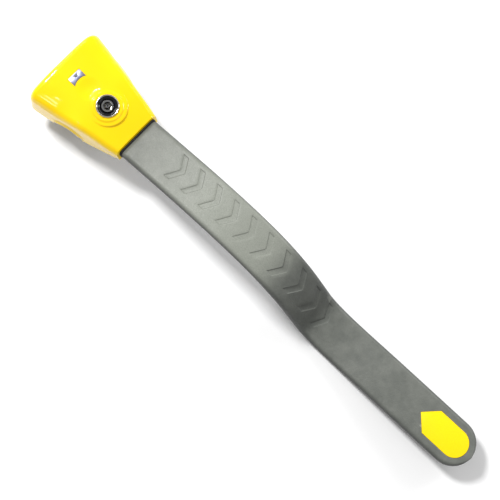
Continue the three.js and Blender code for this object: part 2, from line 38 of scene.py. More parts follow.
# ------------------------------------------------------------------ dimensions shared with the CAD
HEAD_FAR = -113.0
HEAD_TOP = 39.5
JOINT_TOP = 31.8
JOINT_BASE = 16.0
PLAN_CORNER = 9.0
TOP_ROUND = 6.0
CROWN = (0.9, 5.5)
CROWN_POWER = 3.5
LIP_FLARE = 1.6
LIP_REACH = 5.0
WALL = 2.6
MOUTH_X = -1.7
RIM_X = -62.0
RIM_R = 17.8
LINING_R = 20.8
LOCK_X = -44.0
BOSS_TOP = 40.6
BEZEL_R = 12.4
DISH_X = -70.3
DISH_R = 14.5
DISH_DEEP = 1.5
BADGE_HALF = 8.0
BADGE_FAR = -92.8
BADGE_PIN = (-90.2, 0.8)
BADGE_PIN_HOLE_R = 1.2
COVER_POSTS = [(-102, 35), (-102, -35), (-20, 24), (-20, -24)]
POST_R = 4.4
POST_FOOT = 12.3
SCREW_HOLE_R = 1.7
BAR_HALF = 25.5
BAR_EDGE = 5.0
BAR_THICK = 12.0
CORE_HALF = 18.5
CORE_THICK = 6.0
TAIL_X = 485.5
SHELL_START = 0.5
SCREW_X = [34, 128, 196, 330, 398]
GRIP_X = (414.6, 430.0, 462.0)
GRIP_HALF = 15.8
REFLECTOR_TOP = BAR_THICK / 2 - 0.1
REFLECTOR_BASE = BAR_THICK / 2 - 1.4
FIT_GAP = 0.3
BAR_PATH = [
    (-30, 15.2), (0, 24), (54, 40), (100, 50.5), (150, 55), (188, 49), (222, 29.5),
    (246, 5), (264, -14.5), (286, -22.4), (312, -22.2), (360, -15.5), (425, -8), (500, -0.5),
]

# ------------------------------------------------------------------ camera, made first
CAMERA_AT = Vector((11.0, -184.7, 1300.6)) * MM
CAMERA_TO = Vector((-21.3, -3.5, 49.0)) * MM
CAMERA_UP = math.radians(133.32)
LENS = 87.0


def make_camera():
    data = bpy.data.cameras.new("camera")
    data.lens = LENS
    data.sensor_width = 36.0
    data.clip_end = 20
    camera = bpy.data.objects.new("camera", data)
    bpy.context.scene.collection.objects.link(camera)
    back = (CAMERA_AT - CAMERA_TO).normalized()
    up = Vector((math.cos(CAMERA_UP), math.sin(CAMERA_UP), 0))
    right = up.cross(back).normalized()
    up = back.cross(right)
    camera.matrix_world = Matrix((
        (right.x, up.x, back.x, CAMERA_AT.x),
        (right.y, up.y, back.y, CAMERA_AT.y),
        (right.z, up.z, back.z, CAMERA_AT.z),
        (0, 0, 0, 1),
    ))
    bpy.context.scene.camera = camera


make_camera()
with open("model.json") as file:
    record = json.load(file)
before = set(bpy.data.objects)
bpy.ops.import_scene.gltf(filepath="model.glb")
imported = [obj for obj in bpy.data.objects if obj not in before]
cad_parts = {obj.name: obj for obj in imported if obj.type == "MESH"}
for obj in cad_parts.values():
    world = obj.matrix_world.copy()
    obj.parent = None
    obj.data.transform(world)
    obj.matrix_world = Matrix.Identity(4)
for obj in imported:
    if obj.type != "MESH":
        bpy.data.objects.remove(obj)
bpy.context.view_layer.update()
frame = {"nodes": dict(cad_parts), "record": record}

# the frame says where the rim centre sits in the row frame
_low, _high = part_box("saddle_pad")
SHIFT_X = (_low.x + _high.x) / 2 / MM - RIM_X
SHIFT_Z = _high.z / MM - LINING_R


def row(x, y, z):
    """design millimetres to row metres"""
    return ((x + SHIFT_X) * MM, y * MM, (z + SHIFT_Z) * MM)


# ------------------------------------------------------------------ mesh helpers
def mesh_object(name, verts, faces, placed=True):
    data = bpy.data.meshes.new(name)
    data.from_pydata([row(*v) for v in verts] if placed else verts, [], faces)
    bm = bmesh.new()
    bm.from_mesh(data)
    bmesh.ops.remove_doubles(bm, verts=bm.verts, dist=1e-7)
    bmesh.ops.recalc_face_normals(bm, faces=bm.faces)
    bm.to_mesh(data)
    bm.free()
    data.update()
    obj = bpy.data.objects.new(name, data)
    bpy.context.scene.collection.objects.link(obj)
    return obj


def skin(name, rings):
    """closed skin through rings of equal length, with flat ends"""
    n = len(rings[0])
    verts = [p for ring in rings for p in ring]
    faces = []
    for i in range(len(rings) - 1):
        for j in range(n):
            k = (j + 1) % n
            faces.append((i * n + j, i * n + k, (i + 1) * n + k, (i + 1) * n + j))
    last = (len(rings) - 1) * n
    faces.append(tuple(range(n - 1, -1, -1)))
    faces.append(tuple(range(last, last + n)))
    return mesh_object(name, verts, faces)


def lathe(name, profile, x, y, sides=96):
    """closed profile of (radius, height) turned about the vertical through x, y"""
    verts = []
    for k in range(sides):
        a = 2 * math.pi * k / sides
        verts += [(x + r * math.cos(a), y + r * math.sin(a), z) for r, z in profile]
    n = len(profile)
    faces = []
    for i in range(sides):
        for j in range(n):
            k = (j + 1) % n
            i2 = (i + 1) % sides
            on_axis = profile[j][0] == 0 and profile[k][0] == 0
            if not on_axis:
                faces.append((i * n + j, i2 * n + j, i2 * n + k, i * n + k))
    return mesh_object(name, verts, faces)


def prism(name, outline, z0, z1):
    """flat outline in x and y, pulled up"""
    n = len(outline)
    verts = [(x, y, z0) for x, y in outline] + [(x, y, z1) for x, y in outline]
    faces = [tuple(range(n - 1, -1, -1)), tuple(range(n, 2 * n))]
    faces += [(i, (i + 1) % n, n + (i + 1) % n, n + i) for i in range(n)]
    return mesh_object(name, verts, faces)


def cross_rod(name, r, x, z, half, sides=128):
    """round rod across the head, along Y"""
    ring = [(x + r * math.cos(2 * math.pi * k / sides), z + r * math.sin(2 * math.pi * k / sides))
            for k in range(sides)]
    return skin(name, [[(px, y, pz) for px, pz in ring] for y in (-half, half)])


def brick(name, x0, x1, y0, y1, z0, z1):
    return prism(name, [(x0, y0), (x1, y0), (x1, y1), (x0, y1)], z0, z1)


def rod(name, r, x, y, z0, z1, sides=48):
    """upright round rod"""
    ring = [(x + r * math.cos(2 * math.pi * k / sides), y + r * math.sin(2 * math.pi * k / sides))
            for k in range(sides)]
    return prism(name, ring, z0, z1)


def combine(obj, other, how):
    """boolean of two closed pieces; the second one is used up"""
    mod = obj.modifiers.new("join", "BOOLEAN")
    mod.operation = how
    mod.solver = "MANIFOLD"
    mod.object = other
    freeze(obj)
    bpy.data.objects.remove(other)
    return obj


def cut(obj, other):
    return combine(obj, other, "DIFFERENCE")


def freeze(obj):
    """applies the modifiers"""
    graph = bpy.context.evaluated_depsgraph_get()
    data = bpy.data.meshes.new_from_object(obj.evaluated_get(graph))
    obj.modifiers.clear()
    old = obj.data
    obj.data = data
    bpy.data.meshes.remove(old)


def smooth(obj, angle=32):
    obj.data.shade_smooth()
    obj.data.set_sharp_from_angle(angle=math.radians(angle))
    return obj


def soften(obj, width, segments=2, angle=40):
    """small real radius on the hard edges"""
    mod = obj.modifiers.new("edge", "BEVEL")
    mod.width = width * MM
    mod.segments = segments
    mod.limit_method = "ANGLE"
    mod.angle_limit = math.radians(angle)
    mod.use_clamp_overlap = True
    freeze(obj)
    return obj


def piece(obj, body, slot, material, *nodes):
    obj.data.materials.clear()
    obj.data.materials.append(material)
    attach(obj, body)
    if nodes:
        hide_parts(*nodes)
    return obj


# ------------------------------------------------------------------ centre line of the bar
def sample_path():
    """the CAD's centripetal spline through BAR_PATH, sampled densely"""
    pts = [np.array(p, float) for p in BAR_PATH]
    pts = [2 * pts[0] - pts[1]] + pts + [2 * pts[-1] - pts[-2]]
    out = []
    for i in range(1, len(pts) - 2):
        p0, p1, p2, p3 = pts[i - 1:i + 3]
        d0, d1, d2 = (np.linalg.norm(b - a) ** 0.5 for a, b in ((p0, p1), (p1, p2), (p2, p3)))
        t1 = ((p1 - p0) / d0 - (p2 - p0) / (d0 + d1) + (p2 - p1) / d1) * d1
        t2 = ((p2 - p1) / d1 - (p3 - p1) / (d1 + d2) + (p3 - p2) / d2) * d1
        for u in np.linspace(0, 1, 200, endpoint=False):
            c = p1 + t1 * u + (-3 * p1 + 3 * p2 - 2 * t1 - t2) * u ** 2
            c = c + (2 * p1 - 2 * p2 + t1 + t2) * u ** 3
            g = t1 + 2 * (-3 * p1 + 3 * p2 - 2 * t1 - t2) * u
            g = g + 3 * (2 * p1 - 2 * p2 + t1 + t2) * u ** 2
            g = g / np.linalg.norm(g)
            out.append((c[0], c[1], g[0], g[1]))
    return np.array(out)


PATH = sample_path()


def bar_at(x):
    """height of the centre line and its unit direction at x"""
    z, tx, tz = (float(np.interp(x, PATH[:, 0], PATH[:, k])) for k in (1, 2, 3))
    n = math.hypot(tx, tz)
    return z, tx / n, tz / n


def on_bar(x, y, h):
    """point at height h square to the centre line"""
    z, tx, tz = bar_at(x)
    return (x - h * tz, y, z + h * tx)


def set_on_bar(obj, x):
    """a piece modelled about the design origin, moved onto the bar at x"""
    z, tx, tz = bar_at(x)
    origin = Vector(row(0, 0, 0))
    turn = Matrix.Rotation(-math.atan2(tz, tx), 4, "Y")
    obj.data.transform(Matrix.Translation(Vector(row(x, 0, z))) @ turn @ Matrix.Translation(-origin))
    return obj


def bar_half(x, inset=0.0):
    """half width of the bar, with its round tail"""
    r = BAR_HALF - inset
    centre = TAIL_X - BAR_HALF
    if x <= centre:
        return r
    least = 0.0025  # keeps the last ring open
    return math.sqrt(max(r * r - (x - centre) ** 2, least))


# ------------------------------------------------------------------ head cover
def ease(t):
    """smooth step from 0 to 1"""
    t = min(max(t, 0.0), 1.0)
    return t * t * (3 - 2 * t)


def head_half(x):
    """half widths of the head at its top and its base"""
    d = -x
    base = 28.77 + 0.27 * d - 0.00058 * d * d
    draft = 0.4 + 2.6 * ease(d / 45)
    return base - draft, base


def head_top(x):
    u = min(max((x + 60) / 60, 0), 1.15)
    return HEAD_TOP - (HEAD_TOP - JOINT_TOP) * u * u


def head_base(x):
    u = min(max((x + 46) / 46, 0), 1.15)
    return JOINT_BASE * u ** 1.2


def crown_fall(x):
    """how far the top falls toward its sides"""
    return CROWN[0] + (CROWN[1] - CROWN[0]) * ease((-x - 45) / 40)


def lip_flare(x, z):
    """how far the side swells out along the upper half of the rim arch"""
    reach = math.hypot(x - RIM_X, z) - (RIM_R - 0.2)
    return LIP_FLARE * ease(1 - reach / LIP_REACH) * ease((z - 4) / 9)


def soft_max(a, b, k):
    """the greater of two heights, blended over k"""
    h = min(max(0.5 + 0.5 * (a - b) / k, 0), 1)
    return b + (a - b) * h + k * h * (1 - h)


def boss_height(r):
    """raised seat of the lock: flat, rounded step, sloping shelf, rounded foot"""
    z = BOSS_TOP - 1.25 * ease((r - 15.4) / 2.2)
    z -= 0.5 * max(r - 17.6, 0) / 4.0 if r < 21.6 else 0.5
    z -= 3.2 * ease((r - 20.4) / 2.4)
    return z - max(r - 22.8, 0) * 1.5


def top_relief(x, y, z):
    """adds the thumb dish and the lock boss to the plain top"""
    r = math.hypot(x - DISH_X, y)
    if r < DISH_R + 1:
        z -= DISH_DEEP * ease((DISH_R - r) / DISH_R * 1.15)
    r = math.hypot(x - LOCK_X, y)
    if r < 28:
        z = soft_max(z, boss_height(r), 0.5)
    return z


def head_body(name, inset, end, drop=0.0, fine=True):
    """rounded trapezoid body of the head, made smaller all round by inset"""
    start = HEAD_FAR + inset
    corner = PLAN_CORNER - inset * 0.6
    rounding = max(TOP_ROUND - inset, 2.2)
    steps = [corner * (1 - math.cos(math.radians(a))) for a in range(0, 91, 6 if fine else 15)]
    xs = [start + d for d in steps]
    x = xs[-1]
    while x < end - 0.3:
        by_lock = LOCK_X - 25 < x < LOCK_X + 25
        x += (0.42 if by_lock else 1.0) if fine else 6.0
        xs.append(min(x, end))
    walls = 34 if fine else 3
    rings = []
    for x in xs:
        d = x - start
        pull = corner - math.sqrt(corner ** 2 - (corner - d) ** 2) if d < corner else 0
        sink = rounding - math.sqrt(rounding ** 2 - (rounding - d) ** 2) if d < rounding else 0
        wide_top, wide_base = head_half(x)
        top = wide_top - inset - pull
        base = wide_base - inset - pull
        z_top = head_top(x) - inset - sink
        z_base = head_base(x) - drop
        fall = crown_fall(x)
        shoulder = z_top - fall - rounding
        half = []
        for k in range(walls):
            t = k / walls
            z = z_base + (shoulder - z_base) * t
            y = base + (top - base) * (z - z_base) / (z_top - z_base)
            half.append((y + (lip_flare(x, z) if fine else 0.0), z))
        lean = (base - top) * rounding / (z_top - z_base)
        turns = 14 if fine else 5
        for k in range(turns + 1):
            a = math.pi / 2 * k / turns
            low = 1 - math.sin(a)
            y = top - rounding * (1 - math.cos(a)) + lean * low
            z = z_top - fall * (y / top) ** CROWN_POWER - rounding * low
            half.append((y, z))
        inner = half[-1][0]
        fine_y = min(24.0, inner - 1)
        ys = list(np.linspace(inner, fine_y, 16 if fine else 3)[1:-1])
        ys += list(np.linspace(fine_y, -fine_y, 116 if fine else 4))
        ys += [-y for y in reversed(ys[:14 if fine else 1])]
        left = [(-y, z) for y, z in half]
        ring = list(half) + [(y, None) for y in ys] + left[::-1]
        out = []
        for y, z in ring:
            if z is None:
                z = z_top - fall * abs(y / top) ** CROWN_POWER
                if fine:
                    z = top_relief(x, y, z)
            out.append((x, y, z))
        rings.append(out)
    return skin(name, rings)


def beyond_bar_plane(name, x):
    """block that takes away everything past a plane square to the bar at x"""
    return set_on_bar(brick(name, 0, 80, -90, 90, -90, 90), x)


def badge_outline(grow):
    """square at the far end, hollowed by the thumb dish at the near end"""
    half = BADGE_HALF + grow
    far_x = BADGE_FAR - grow
    r = 15 - grow
    edge = math.asin(half / r)
    outline = [(far_x, -half)]
    for k in range(25):
        a = math.pi + edge - 2 * edge * k / 24
        outline.append((DISH_X + r * math.cos(a), r * math.sin(a)))
    outline.append((far_x, half))
    return outline


def make_head():
    head = head_body("head_shell", 0, 6)
    cavity = cut(head_body("tool", WALL, 6, 3, fine=False), beyond_bar_plane("tool2", MOUTH_X - WALL))
    head = cut(head, cavity)
    head = combine(head, rod("tool", 17, LOCK_X, 0, 33, 38, 64), "UNION")
    for x, y in COVER_POSTS:
        post_top = min(head_top(x) - 2.3, 35.5)
        head = combine(head, rod("tool", POST_R, x, y, POST_FOOT, post_top, 32), "UNION")
        head = cut(head, rod("tool", SCREW_HOLE_R, x, y, 11, 22, 24))
    head = cut(head, cross_rod("tool", RIM_R - 0.2, RIM_X, 0, 70))
    head = cut(head, rod("tool", 10, LOCK_X, 0, 30, 45, 96))
    head = cut(head, rod("tool", 11.8, LOCK_X, 0, 35.7, 45, 96))
    head = cut(head, prism("tool", badge_outline(FIT_GAP), HEAD_TOP - 1.1, 45))
    head = cut(head, rod("tool", BADGE_PIN_HOLE_R, *BADGE_PIN, 30, 45, 24))
    head = cut(head, beyond_bar_plane("tool", MOUTH_X))
    slot = brick("tool", -12, 8, -CORE_HALF - 0.5, CORE_HALF + 0.5, -30, CORE_THICK / 2 + 0.5)
    head = cut(head, set_on_bar(slot, 0))
    return smooth(head, 30)


# ------------------------------------------------------------------ bar covers
CHEVRON_FIRST = 58.0
CHEVRON_STEP = 23.5
CHEVRON_COUNT = 10
CHEVRON_STROKE = 6.5
CHEVRON_REACH = 15.0
CHEVRON_SWEEP = 0.6
CHEVRON_SUNK = 0.6
CHEVRON_WALL = 0.9
CHEVRON_SIDE = 3.0
SEAM_HALF = 0.45
SEAM_DEEP = 0.8

WALL_STEPS = [CHEVRON_WALL * k for k in (-0.5, -0.3, 0, 0.3, 0.5)]


def sweep_back(x, v):
    """how far a ring trails behind at v, so that its points run along the chevrons"""
    share = ease((x - 8) / 34) * ease((400 - x) / 70)
    d = v - CHEVRON_SIDE
    return -CHEVRON_SWEEP * (math.sqrt(d * d + 1.0) - 1.0) * share


def relief(x, v):
    """depth of the sunk chevrons at ring x and place v across the bar"""
    k = round((x - CHEVRON_FIRST - CHEVRON_STROKE / 2) / CHEVRON_STEP)
    if k < 0 or k >= CHEVRON_COUNT:
        return 0.0
    mid = CHEVRON_FIRST + k * CHEVRON_STEP + CHEVRON_STROKE / 2
    along = CHEVRON_STROKE / 2 - abs(x - mid)
    across = CHEVRON_REACH - abs(v - CHEVRON_SIDE)
    return -CHEVRON_SUNK * ease(0.5 + min(along, across) / CHEVRON_WALL)


def bar_stations(start, step):
    """places of the rings along the bar, closer at the walls of the chevrons"""
    xs = set(np.round(np.arange(start + 1.2, TAIL_X - BAR_HALF, step), 3))
    xs |= {start, start + 0.3, start + 0.7}
    for k in range(CHEVRON_COUNT):
        for edge in (0, CHEVRON_STROKE):
            for d in WALL_STEPS:
                xs.add(round(CHEVRON_FIRST + k * CHEVRON_STEP + edge + d, 3))
    xs = sorted(xs)
    kept = [xs[0]]
    for x in xs[1:]:
        if x - kept[-1] > 0.12:
            kept.append(x)
    for a in np.arange(0, 90, 2.5):
        kept.append(TAIL_X - BAR_HALF + BAR_HALF * math.sin(math.radians(a)))
    kept.append(TAIL_X)
    return kept


def bar_cover(name, side):
    """upper (side 1) or lower (side -1) half of the cover, before it is hollowed"""
    full = BAR_THICK / 2
    vs = set(np.linspace(-20.5, 20.5, 15))
    for edge in (CHEVRON_SIDE - CHEVRON_REACH, CHEVRON_SIDE + CHEVRON_REACH):
        vs |= {edge + d for d in WALL_STEPS}
    vs |= {CHEVRON_SIDE + d for d in (-2, -1, -0.5, 0, 0.5, 1, 2)}
    vs = sorted(vs)
    rings = []
    for x in bar_stations(SHELL_START, 4.0):
        w = bar_half(x)
        edge = min(BAR_EDGE, w)
        chamfer = 1.3 * (1 - ease((x - SHELL_START) / 2.4)) if side > 0 else 0.0
        groove = min(SEAM_DEEP, w * 0.5)
        rise = full - SEAM_HALF - chamfer
        ring = []

        def put(v, h, scale_v):
            trail = sweep_back(x, scale_v) if side > 0 else 0.0
            ring.append(on_bar(max(x + trail, SHELL_START), v, h))

        put(-(w - groove), side * 0.1, -20.5)
        for k in range(9):
            a = k * math.pi / 16
            put(-(w - edge * (1 - math.cos(a))), side * (SEAM_HALF + rise * math.sin(a)), -20.5)
        for v in vs[1:-1]:
            lift = relief(x, v) if side > 0 else 0.0
            put(v * (w - edge) / 20.5, side * (full - chamfer + lift), v)
        for k in range(8, -1, -1):
            a = k * math.pi / 16
            put(w - edge * (1 - math.cos(a)), side * (SEAM_HALF + rise * math.sin(a)), 20.5)
        put(w - groove, side * 0.1, 20.5)
        rings.append(ring)
    return skin(name, rings)


def bar_strip(name, start, half, low, high, step=4.0):
    """plain strip that follows the bar"""
    inset = BAR_HALF - half
    xs = list(np.arange(start, TAIL_X - BAR_HALF, step))
    xs += [TAIL_X - BAR_HALF + half * math.sin(math.radians(a)) for a in range(0, 90, 5)]
    xs.append(TAIL_X - inset - 0.01)
    rings = []
    for x in xs:
        w = bar_half(x, inset)
        rings.append([on_bar(x, -w, low), on_bar(x, w, low), on_bar(x, w, high), on_bar(x, -w, high)])
    return skin(name, rings)


def grip_outline(grow):
    """reflector outline: a point toward the head, round at the tail"""
    half = GRIP_HALF + grow
    outline = [(GRIP_X[0] - grow * 1.4, 0), (GRIP_X[1] - grow * 0.4, -half)]
    for k in range(49):
        a = -math.pi / 2 + math.pi * k / 48
        outline.append((GRIP_X[2] + half * math.cos(a), half * math.sin(a)))
    outline.append((GRIP_X[1] - grow * 0.4, half))
    return outline


GRIP_MID = (GRIP_X[0] + GRIP_X[2]) / 2


def lay_on_tail(name, outline, low, high):
    return set_on_bar(prism(name, [(x - GRIP_MID, y) for x, y in outline], low, high), GRIP_MID)


def cover_cavity():
    return bar_strip("tool", -6, CORE_HALF + 0.5, -CORE_THICK / 2 - 0.3, CORE_THICK / 2 + 0.2)


def make_upper():
    upper = cut(bar_cover("bar_cover_upper", 1), cover_cavity())
    upper = cut(upper, lay_on_tail("tool", grip_outline(FIT_GAP), BAR_THICK / 2 - 1.5, 20))
    for x in SCREW_X:
        upper = cut(upper, set_on_bar(rod("tool", SCREW_HOLE_R, 0, 0, -1, 5.2, 24), x))
    return smooth(upper, 28)


def make_lower():
    lower = cut(bar_cover("bar_cover_lower", -1), cover_cavity())
    for x in SCREW_X:
        lower = cut(lower, set_on_bar(rod("tool", 1.8, 0, 0, -9, 0, 24), x))
        lower = cut(lower, set_on_bar(rod("tool", 3.1, 0, 0, -9, -4.6, 32), x))
    return smooth(lower, 28)


# ------------------------------------------------------------------ key lock, badge, gasket
def make_barrel():
    flange = BOSS_TOP + 0.2
    barrel = lathe("lock_bezel", [
        (4.2, 26.2), (9.6, 26.2), (9.6, 36), (11.5, 36), (11.5, flange), (BEZEL_R - 0.15, flange),
        (BEZEL_R, flange + 0.2), (BEZEL_R, 41.6), (BEZEL_R - 0.08, 42.0), (BEZEL_R - 0.28, 42.35),
        (BEZEL_R - 0.6, 42.55), (BEZEL_R - 0.9, 42.6), (11.4, 42.6), (11.1, 42.5), (10.8, 42.3),
        (10.6, 42.0), (10.6, 37.6), (6.3, 37.6), (6.3, 41.5),
        (6.22, 41.75), (6.0, 41.9), (4.5, 41.9), (4.3, 41.8), (4.2, 41.6),
    ], LOCK_X, 0, 128)
    notch = brick("tool", 3.4, 7, -0.9, 0.9, 38.6, 43)
    turn = Matrix.Rotation(math.radians(45), 4, "Z")
    origin = Vector(row(0, 0, 0))
    notch.data.transform(Matrix.Translation(Vector(row(LOCK_X, 0, 0))) @ turn @ Matrix.Translation(-origin))
    return smooth(cut(barrel, notch), 30)


def make_dish():
    profile = [(6.6, 38.0), (10.3, 38.0), (10.3, 41.9), (10.2, 42.0), (9.95, 42.0), (9.8, 41.9)]
    for k in range(1, 9):
        t = k / 8
        profile.append((9.8 - 3.1 * t, 41.9 - 2.5 * t + 0.35 * math.sin(math.pi * t)))
    profile.append((6.6, 39.2))
    return smooth(lathe("lock_dish", profile, LOCK_X, 0, 128), 35)


def make_plug():
    plug = lathe("lock_spindle", [
        (0, 25.9), (4.1, 25.9), (4.1, 35.4), (3.95, 35.6), (2.1, 35.6), (1.9, 35.8), (1.9, 40.9),
        (1.8, 41.15), (1.55, 41.35), (1.1, 41.4), (0.7, 41.1), (0, 41.0),
    ], LOCK_X, 0, 96)
    plug = combine(plug, brick("tool", LOCK_X - 2.4, LOCK_X + 2.4, -2.4, 2.4, 23.4, 26), "UNION")
    plug = cut(plug, rod("tool", 1.3, LOCK_X, 0, 22, 27.4))
    for k in range(7):
        a = k * 2 * math.pi / 7 + 0.3
        plug = cut(plug, rod("tool", 0.8, LOCK_X + 2.9 * math.cos(a), 2.9 * math.sin(a), 29, 37, 24))
    return smooth(plug, 30)


def make_badge():
    badge = prism("blank_badge", badge_outline(0), HEAD_TOP - 1.0, HEAD_TOP + 0.1)
    badge = cut(badge, rod("tool", BADGE_PIN_HOLE_R, *BADGE_PIN, 30, 45, 32))
    return smooth(soften(badge, 0.12, 2), 30)


def make_rivet():
    return smooth(lathe("badge_pin", [
        (0, 37.2), (0.9, 37.2), (0.9, HEAD_TOP + 0.3), (1.7, HEAD_TOP + 0.3), (1.62, HEAD_TOP + 0.5),
        (1.25, HEAD_TOP + 0.7), (0.6, HEAD_TOP + 0.79), (0, HEAD_TOP + 0.8),
    ], *BADGE_PIN, 40), 35)


def make_reflector():
    lens = lay_on_tail("tail_lens", grip_outline(0), REFLECTOR_BASE, REFLECTOR_TOP)
    return smooth(soften(lens, 0.35, 3), 30)


# ------------------------------------------------------------------ materials
class Surface:
    """a Principled material built from procedural layers in object space"""

    def __init__(self, name, **constants):
        self.mat = bpy.data.materials.new(name)
        self.mat.use_nodes = True
        self.nodes = self.mat.node_tree.nodes
        self.links = self.mat.node_tree.links
        self.shader = self.nodes["Principled BSDF"]
        self.place = self.nodes.new("ShaderNodeTexCoord").outputs["Object"]
        for key, value in constants.items():
            self.shader.inputs[key.replace("_", " ")].default_value = value
        self.height = None

    def noise(self, size_mm, detail=3.0, rough=0.5, stretch=(1, 1, 1)):
        """noise from 0 to 1 with features of the given size"""
        mapping = self.nodes.new("ShaderNodeMapping")
        mapping.inputs["Scale"].default_value = stretch
        self.links.new(self.place, mapping.inputs["Vector"])
        tex = self.nodes.new("ShaderNodeTexNoise")
        tex.inputs["Scale"].default_value = 1.0 / (size_mm * MM)
        tex.inputs["Detail"].default_value = detail
        tex.inputs["Roughness"].default_value = rough
        self.links.new(mapping.outputs["Vector"], tex.inputs["Vector"])
        return tex.outputs["Fac"]

    def cells(self, size_mm):
        tex = self.nodes.new("ShaderNodeTexVoronoi")
        tex.inputs["Scale"].default_value = 1.0 / (size_mm * MM)
        self.links.new(self.place, tex.inputs["Vector"])
        return tex.outputs["Distance"]

    def along(self):
        """place along the bar, in metres"""
        split = self.nodes.new("ShaderNodeSeparateXYZ")
        self.links.new(self.place, split.inputs["Vector"])
        return split.outputs["X"]

    def span(self, source, low, high, out_low=0.0, out_high=1.0, clamp=True):
        node = self.nodes.new("ShaderNodeMapRange")
        node.clamp = clamp
        for key, value in (("From Min", low), ("From Max", high), ("To Min", out_low), ("To Max", out_high)):
            node.inputs[key].default_value = value
        self.links.new(source, node.inputs["Value"])
        return node.outputs["Result"]

    def blend(self, share, a, b):
        node = self.nodes.new("ShaderNodeMix")
        node.data_type = "RGBA"
        self.links.new(share, node.inputs["Factor"])
        for socket, value in ((node.inputs["A"], a), (node.inputs["B"], b)):
            if isinstance(value, tuple):
                socket.default_value = (*value, 1.0)
            else:
                self.links.new(value, socket)
        return node.outputs["Result"]

    def colour(self, source):
        self.links.new(source, self.shader.inputs["Base Color"])
        return self

    def gloss(self, source):
        self.links.new(source, self.shader.inputs["Roughness"])
        return self

    def bump(self, source, depth_mm, strength=1.0):
        node = self.nodes.new("ShaderNodeBump")
        node.inputs["Strength"].default_value = strength
        node.inputs["Distance"].default_value = depth_mm * MM
        self.links.new(source, node.inputs["Height"])
        if self.height is not None:
            self.links.new(self.height, node.inputs["Normal"])
        self.height = node.outputs["Normal"]
        self.links.new(self.height, self.shader.inputs["Normal"])
        return self

    def edges(self, start=0.515, full=0.58):
        """0 on flats, 1 on outer edges"""
        geometry = self.nodes.new("ShaderNodeNewGeometry")
        return self.span(geometry.outputs["Pointiness"], start, full)

    def facing_up(self):
        """1 on faces that look up, 0 on upright sides"""
        geometry = self.nodes.new("ShaderNodeNewGeometry")
        split = self.nodes.new("ShaderNodeSeparateXYZ")
        self.links.new(geometry.outputs["Normal"], split.inputs["Vector"])
        return split.outputs["Z"]

    def around(self, x, y):
        """distance from an upright axis at a design place, in millimetres"""
        split = self.nodes.new("ShaderNodeSeparateXYZ")
        self.links.new(self.place, split.inputs["Vector"])
        flat = self.nodes.new("ShaderNodeCombineXYZ")
        self.links.new(split.outputs["X"], flat.inputs["X"])
        self.links.new(split.outputs["Y"], flat.inputs["Y"])
        away = self.nodes.new("ShaderNodeVectorMath")
        away.operation = "DISTANCE"
        self.links.new(flat.outputs["Vector"], away.inputs[0])
        away.inputs[1].default_value = (row(x, y, 0)[0], row(x, y, 0)[1], 0)
        return self.span(away.outputs["Value"], 0, MM, 0, 1, clamp=False)


def yellow_shell():
    s = Surface("yellow_shell", Specular_IOR_Level=0.05, Coat_Weight=1.0, Coat_Roughness=0.04, Coat_IOR=1.42)
    s.colour(s.blend(s.span(s.noise(38, 2), 0.35, 0.65), (0.96, 0.66, 0.0), (0.94, 0.63, 0.0)))
    s.gloss(s.span(s.noise(9, 4, 0.6), 0.3, 0.7, 0.3, 0.42))
    s.bump(s.noise(3.2, 2), 0.02)
    s.bump(s.noise(0.5, 3, 0.6, (1, 0.12, 1)), 0.002)
    return s.mat


def grey_cover():
    s = Surface("grey_sleeve", Specular_IOR_Level=0.35)
    mottle = s.span(s.noise(15, 4, 0.6), 0.33, 0.68)
    speck = s.span(s.noise(0.9, 3, 0.6), 0.3, 0.7)
    # painted light and shade along the bar: darker by the head, where the head shades it, lighter over the
    # rising hump as a painted sheen, and darker past the crest as painted shade of the steep fall
    painted_sheen_ramp = s.span(s.along(), -0.18, -0.09)
    painted_shade_ramp = s.span(s.along(), 0.0, 0.03)
    base = s.blend(painted_sheen_ramp, (0.14, 0.148, 0.128), (0.28, 0.295, 0.254))
    base = s.blend(painted_shade_ramp, base, (0.113, 0.121, 0.108))
    base = s.blend(s.span(mottle, 0, 1, 0, 0.22), base, (0.36, 0.37, 0.33))
    base = s.blend(s.span(speck, 0, 1, 0, 0.4), base, (0.11, 0.116, 0.104))
    base = s.blend(s.span(s.edges(0.52, 0.62), 0, 1, 0, 0.45), base, (0.45, 0.46, 0.41))
    # painted shade: faces that turn to the side are darkened almost to black by their normal, as if lit only
    # from above
    s.colour(s.blend(s.span(s.facing_up(), 0.35, 0.92, 0.9, 0), base, (0.03, 0.032, 0.03)))
    s.gloss(s.span(speck, 0, 1, 0.38, 0.52))
    s.bump(s.noise(6.5, 3, 0.55), 0.12)
    s.bump(s.noise(4.0, 4, 0.7), 0.38)
    s.bump(s.cells(0.9), 0.09)
    return s.mat


def cast_metal():
    s = Surface("cast_frame", Metallic=0.75)
    worn = s.edges(0.52, 0.62)
    base = s.blend(s.span(s.noise(7, 4), 0.3, 0.7), (0.13, 0.135, 0.145), (0.2, 0.205, 0.215))
    s.colour(s.blend(s.span(worn, 0, 1, 0, 0.6), base, (0.42, 0.42, 0.43)))
    s.gloss(s.span(s.noise(2, 4), 0.3, 0.7, 0.45, 0.65))
    s.bump(s.noise(0.9, 4, 0.65), 0.09)
    return s.mat


def plated_steel():
    s = Surface("steel", Metallic=1.0)
    worn = s.edges(0.52, 0.62)
    base = s.blend(s.span(s.noise(11, 4), 0.3, 0.7), (0.47, 0.48, 0.5), (0.6, 0.6, 0.6))
    s.colour(s.blend(s.span(worn, 0, 1, 0, 0.5), base, (0.78, 0.78, 0.78)))
    s.gloss(s.span(s.noise(1.6, 4, 0.6, (0.15, 1, 1)), 0.3, 0.7, 0.26, 0.42))
    s.bump(s.noise(0.35, 2, 0.5, (0.06, 1, 1)), 0.006)
    return s.mat


